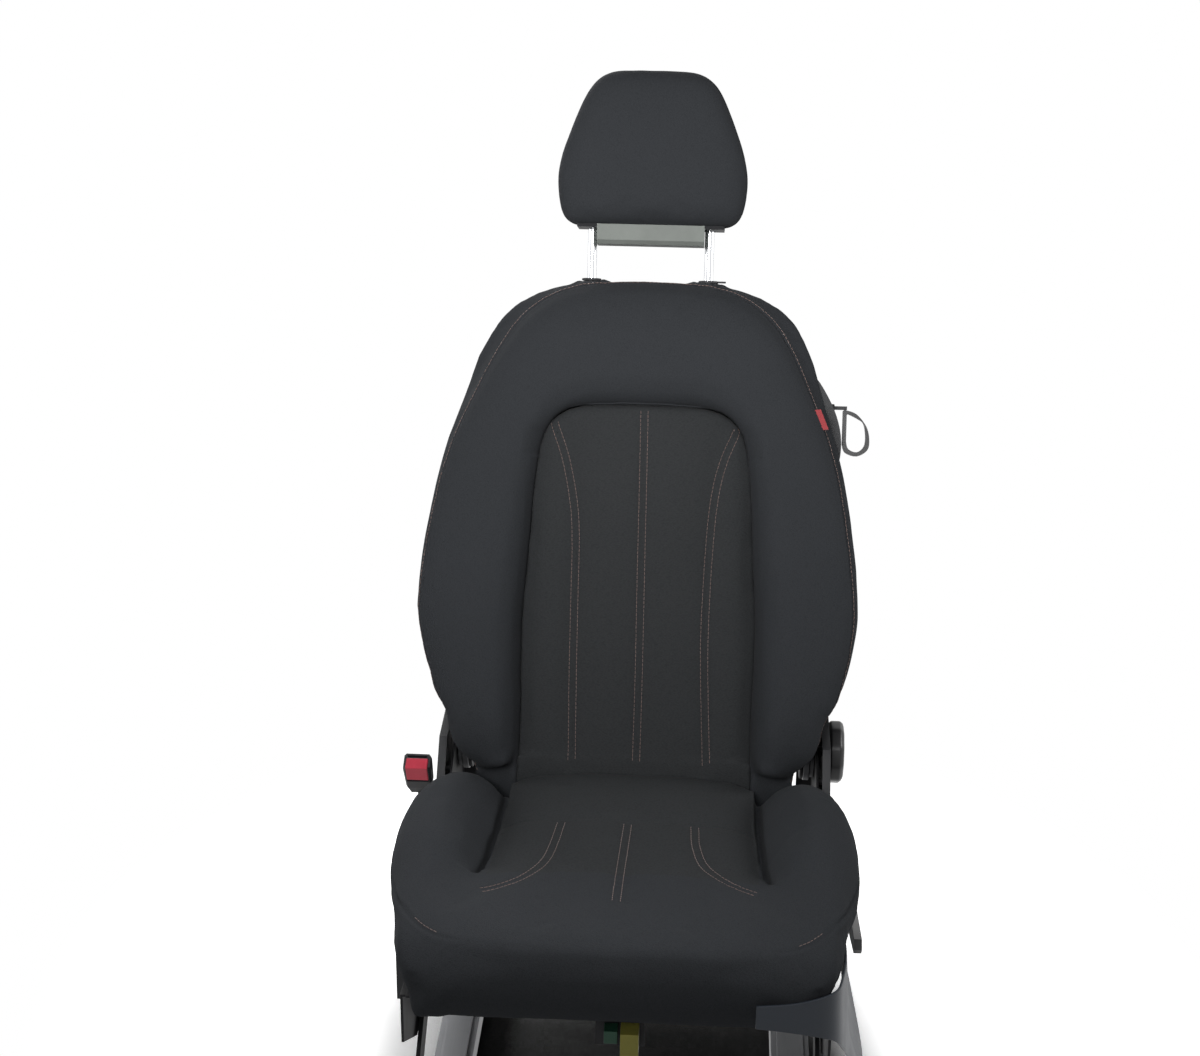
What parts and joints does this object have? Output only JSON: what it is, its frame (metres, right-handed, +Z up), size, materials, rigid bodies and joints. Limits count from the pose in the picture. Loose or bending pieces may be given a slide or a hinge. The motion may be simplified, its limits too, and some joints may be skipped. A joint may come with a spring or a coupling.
{
  "type": "car seat",
  "caption": "Sports-style front car seat with bolstered cushion and reclining, folding backrest, height links, floor rails, head restraint, belt buckle and belt guide loop.",
  "frame": {"origin": "on the floor, under the middle of the seat's overall width and depth", "axes": "+Z up; the seat faces -Y; +X is the outboard side, with the belt guide and the recline handwheel"},
  "size_m": [0.59, 0.891, 1.1259],
  "materials": {
    "bolster_cloth": "matte",
    "insert_cloth": "matte",
    "black_steel": "satin",
    "zinc_steel": "satin",
    "chrome": "polished",
    "black_plastic": "matte",
    "gloss_black": "gloss",
    "valance_plastic": "satin",
    "grey_moulding": "satin",
    "red_plastic": "satin",
    "red_tag": "matte",
    "yellow_plastic": "satin",
    "green_plastic": "satin",
    "back_carpet": "matte"
  },
  "bodies": {
    "floor_rails": {"lower_rail_inboard": "zinc_steel", "front_foot_inboard": "black_steel", "rear_foot_inboard": "black_steel", "lower_rail_outboard": "zinc_steel", "front_foot_outboard": "black_steel", "rear_foot_outboard": "black_steel"},
    "carriage": {"upper_rail_inboard": "zinc_steel", "upper_rail_outboard": "zinc_steel"},
    "release_bar": {"track_release_bar": "black_steel"},
    "rear_lift": {"rear_torque_tube": "black_steel", "rear_link_inboard": "black_steel", "rear_link_outboard": "black_steel"},
    "front_lift": {"front_cross_tube": "black_steel", "front_link_inboard": "black_steel", "front_link_outboard": "black_steel"},
    "cushion": {"seat_side_member_inboard": "black_steel", "seat_side_member_outboard": "black_steel", "seat_pan": "black_steel", "yellow_connector": "yellow_plastic", "green_connector": "green_plastic", "height_pump": "zinc_steel", "recliner_gear_inboard": "zinc_steel", "recliner_gear_outboard": "zinc_steel", "recliner_cover_outboard": "black_plastic", "inboard_side_cover": "black_plastic", "outboard_valance": "valance_plastic", "buckle_anchor_bolt": "zinc_steel", "buckle_stalk": "black_plastic", "buckle_body": "black_plastic", "seat_centre_pad": "insert_cloth", "seat_bolster_inboard": "bolster_cloth", "seat_bolster_outboard": "bolster_cloth"},
    "lift_lever": {"height_lever": "gloss_black"},
    "recline_wheel": {"recline_handwheel": "gloss_black", "recliner_cross_shaft": "black_steel"},
    "fold_arms": {"fold_arm_inboard": "black_steel", "fold_arm_outboard": "black_steel"},
    "backrest": {"back_side_member_inboard": "black_steel", "back_side_member_outboard": "black_steel", "back_top_tube": "black_steel", "back_lower_panel": "black_steel", "lumbar_mat": "zinc_steel", "side_airbag_module": "back_carpet", "back_centre_pad": "insert_cloth", "back_bolster_inboard": "bolster_cloth", "back_bolster_outboard": "bolster_cloth", "back_shoulder_pad": "bolster_cloth", "back_rear_panel": "back_carpet", "seam_tag": "red_tag", "belt_guide_housing": "black_plastic", "post_sleeve_inboard": "black_plastic", "post_sleeve_outboard": "black_plastic"},
    "belt_guide": {"belt_guide_loop": "gloss_black"},
    "entry_lever": {"fold_lever": "gloss_black"},
    "head_restraint": {"head_pad": "bolster_cloth", "head_base": "grey_moulding", "head_post_inboard": "chrome", "head_post_outboard": "chrome"},
    "head_button": {"head_release_button": "black_plastic"},
    "buckle_push": {"buckle_button": "red_plastic"}
  },
  "joints": [
    {"name": "track_slide", "type": "slide", "parent": "floor_rails", "child": "carriage", "axis": [0, 1, 0], "range_m": [-0.11, 0.11]},
    {"name": "track_release", "type": "hinge", "parent": "carriage", "child": "release_bar", "pos_m": [0, -0.35, 0.0653], "axis": [-1, 0, 0], "range_deg": [0, 10], "stiffness_Nm_per_rad": 3, "springref_deg": -8.59},
    {"name": "height_lift", "type": "hinge", "parent": "carriage", "child": "rear_lift", "pos_m": [0, 0.00537, 0.11625], "axis": [1, 0, 0], "range_deg": [-15, 35]},
    {"name": "front_link_swing", "type": "hinge", "parent": "carriage", "child": "front_lift", "pos_m": [0, -0.33963, 0.13125], "axis": [1, 0, 0], "range_deg": [-16, 36]},
    {"name": "cushion_level", "type": "hinge", "parent": "rear_lift", "child": "cushion", "pos_m": [0, 0.075, 0.165], "axis": [1, 0, 0], "range_deg": [-36, 16]},
    {"name": "height_lever_pump", "type": "hinge", "parent": "cushion", "child": "lift_lever", "pos_m": [0.27, -0.055, 0.2], "axis": [-1, 0, 0], "range_deg": [-12, 12], "stiffness_Nm_per_rad": 5},
    {"name": "recline", "type": "hinge", "parent": "cushion", "child": "fold_arms", "pos_m": [0, 0.14, 0.3], "axis": [-1, 0, 0], "range_deg": [-4, 38]},
    {"name": "handwheel_turn", "type": "hinge", "parent": "cushion", "child": "recline_wheel", "pos_m": [0.255, 0.14, 0.3], "axis": [-1, 0, 0], "range_deg": [-121, 1141]},
    {"name": "easy_entry_fold", "type": "hinge", "parent": "fold_arms", "child": "backrest", "pos_m": [0, 0.11282, 0.37672], "axis": [1, 0, 0], "range_deg": [0, 38]},
    {"name": "fold_lever_pull", "type": "hinge", "parent": "backrest", "child": "entry_lever", "pos_m": [0.233, 0.31562, 0.66434], "axis": [-1, 0, 0], "range_deg": [0, 18], "stiffness_Nm_per_rad": 0.4, "springref_deg": -11.46},
    {"name": "belt_guide_swivel", "type": "hinge", "parent": "backrest", "child": "belt_guide", "pos_m": [0.25644, 0.28904, 0.67671], "axis": [0, 0.3907, 0.9205], "range_deg": [-20, 80]},
    {"name": "head_height", "type": "slide", "parent": "backrest", "child": "head_restraint", "axis": [0, 0.3338, 0.9426], "range_m": [-0.038, 0.015]},
    {"name": "head_release", "type": "slide", "parent": "backrest", "child": "head_button", "axis": [-1, 0, 0], "range_m": [0, 0.003], "stiffness_N_per_m": 300, "springref_m": -0.001},
    {"name": "buckle_release", "type": "slide", "parent": "cushion", "child": "buckle_push", "axis": [0, 0.454, -0.891], "range_m": [0, 0.004], "stiffness_N_per_m": 400, "springref_m": -0.001}
  ],
  "couplings": [
    {"joint": "front_link_swing", "follows": "height_lift", "ratio": 1},
    {"joint": "cushion_level", "follows": "height_lift", "ratio": -1},
    {"joint": "handwheel_turn", "follows": "recline", "ratio": 30}
  ]
}
